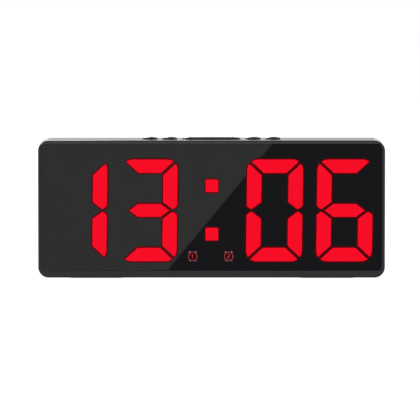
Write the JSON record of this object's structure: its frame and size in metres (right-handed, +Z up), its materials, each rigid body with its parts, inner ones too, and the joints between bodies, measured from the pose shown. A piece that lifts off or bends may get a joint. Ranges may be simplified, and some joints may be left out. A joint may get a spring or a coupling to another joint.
{
  "type": "digital alarm clock",
  "caption": "Slim black desk alarm clock with red seven-segment digits behind a smoked window, press buttons and a ribbed snooze bar on top, and a battery bay behind.",
  "frame": {"origin": "on the table, under the middle of the clock", "axes": "+X to the viewer's right along the width, +Y from the display to the back, +Z up"},
  "size_m": [0.165, 0.027, 0.0671],
  "materials": {
    "case_abs": "moulded black ABS, fine satin",
    "button_abs": "moulded black ABS, polished",
    "smoked_acrylic": "smoked acrylic, polished",
    "lit_diffuser": "red diffuser resin, lit from behind",
    "dark_diffuser": "diffuser resin, unlit",
    "reflector_plastic": "moulded black polycarbonate, matte",
    "circuit_board": "glass epoxy with green solder resist",
    "black_part": "moulded black thermoplastic",
    "plated_steel": "nickel-plated spring steel",
    "screw_steel": "zinc-plated steel",
    "cell_jacket": "plain printed film jacket on a steel can",
    "foot_rubber": "matte rubber",
    "red_lead": "PVC insulation",
    "black_lead": "PVC insulation"
  },
  "bodies": {
    "case": {"alarm_switch": "black_part", "board_connector": "black_part", "bottom_cell": "cell_jacket", "bottom_spring": "plated_steel", "button_board": "circuit_board", "buzzer": "black_part", "clock_chip": "black_part", "colon_and_signs": "lit_diffuser", "display_reflector": "reflector_plastic", "display_window": "smoked_acrylic", "down_switch": "black_part", "front_case": "case_abs", "hours_tens_dark_bars": "dark_diffuser", "hours_tens_lit_bars": "lit_diffuser", "hours_units_dark_bars": "dark_diffuser", "hours_units_lit_bars": "lit_diffuser", "inlet_negative_lead": "black_lead", "inlet_positive_lead": "red_lead", "left_bridge_contact": "plated_steel", "left_foot_pad": "foot_rubber", "lower_left_board_screw": "screw_steel", "lower_left_case_screw": "screw_steel", "lower_right_board_screw": "screw_steel", "lower_right_case_screw": "screw_steel", "main_board": "circuit_board", "middle_cell": "cell_jacket", "middle_spring": "plated_steel", "minutes_tens_dark_bars": "dark_diffuser", "minutes_tens_lit_bars": "lit_diffuser", "minutes_units_dark_bars": "dark_diffuser", "minutes_units_lit_bars": "lit_diffuser", "negative_contact": "plated_steel", "negative_lead": "black_lead", "positive_contact": "plated_steel", "positive_lead": "red_lead", "power_socket": "black_part", "rear_cover": "case_abs", "right_bridge_contact": "plated_steel", "right_foot_pad": "foot_rubber", "set_switch": "black_part", "snooze_switch": "black_part", "top_cell": "cell_jacket", "top_spring": "plated_steel", "up_switch": "black_part", "upper_left_board_screw": "screw_steel", "upper_left_case_screw": "screw_steel", "upper_right_board_screw": "screw_steel", "upper_right_case_screw": "screw_steel", "watch_crystal": "plated_steel"},
    "set_button": {"set_button": "button_abs", "set_plunger": "black_part"},
    "up_button": {"up_button": "button_abs", "up_plunger": "black_part"},
    "snooze_bar": {"snooze_bar": "button_abs", "snooze_plunger": "black_part"},
    "down_button": {"down_button": "button_abs", "down_plunger": "black_part"},
    "alarm_button": {"alarm_button": "button_abs", "alarm_plunger": "black_part"},
    "battery_door": {"battery_door": "case_abs"}
  },
  "joints": [
    {"name": "set_press", "type": "slide", "parent": "case", "child": "set_button", "axis": [0, 0, -1], "range_m": [0, 0.0005], "stiffness_N_per_m": 1600, "springref_m": -0.0005},
    {"name": "up_press", "type": "slide", "parent": "case", "child": "up_button", "axis": [0, 0, -1], "range_m": [0, 0.0005], "stiffness_N_per_m": 1600, "springref_m": -0.0005},
    {"name": "snooze_press", "type": "slide", "parent": "case", "child": "snooze_bar", "axis": [0, 0, -1], "range_m": [0, 0.0005], "stiffness_N_per_m": 1600, "springref_m": -0.0005},
    {"name": "down_press", "type": "slide", "parent": "case", "child": "down_button", "axis": [0, 0, -1], "range_m": [0, 0.0005], "stiffness_N_per_m": 1600, "springref_m": -0.0005},
    {"name": "alarm_press", "type": "slide", "parent": "case", "child": "alarm_button", "axis": [0, 0, -1], "range_m": [0, 0.0005], "stiffness_N_per_m": 1600, "springref_m": -0.0005},
    {"name": "door_hinge", "type": "hinge", "parent": "case", "child": "battery_door", "pos_m": [0, 0.01275, 0.04245], "axis": [1, 0, 0], "range_deg": [0, 90]}
  ]
}
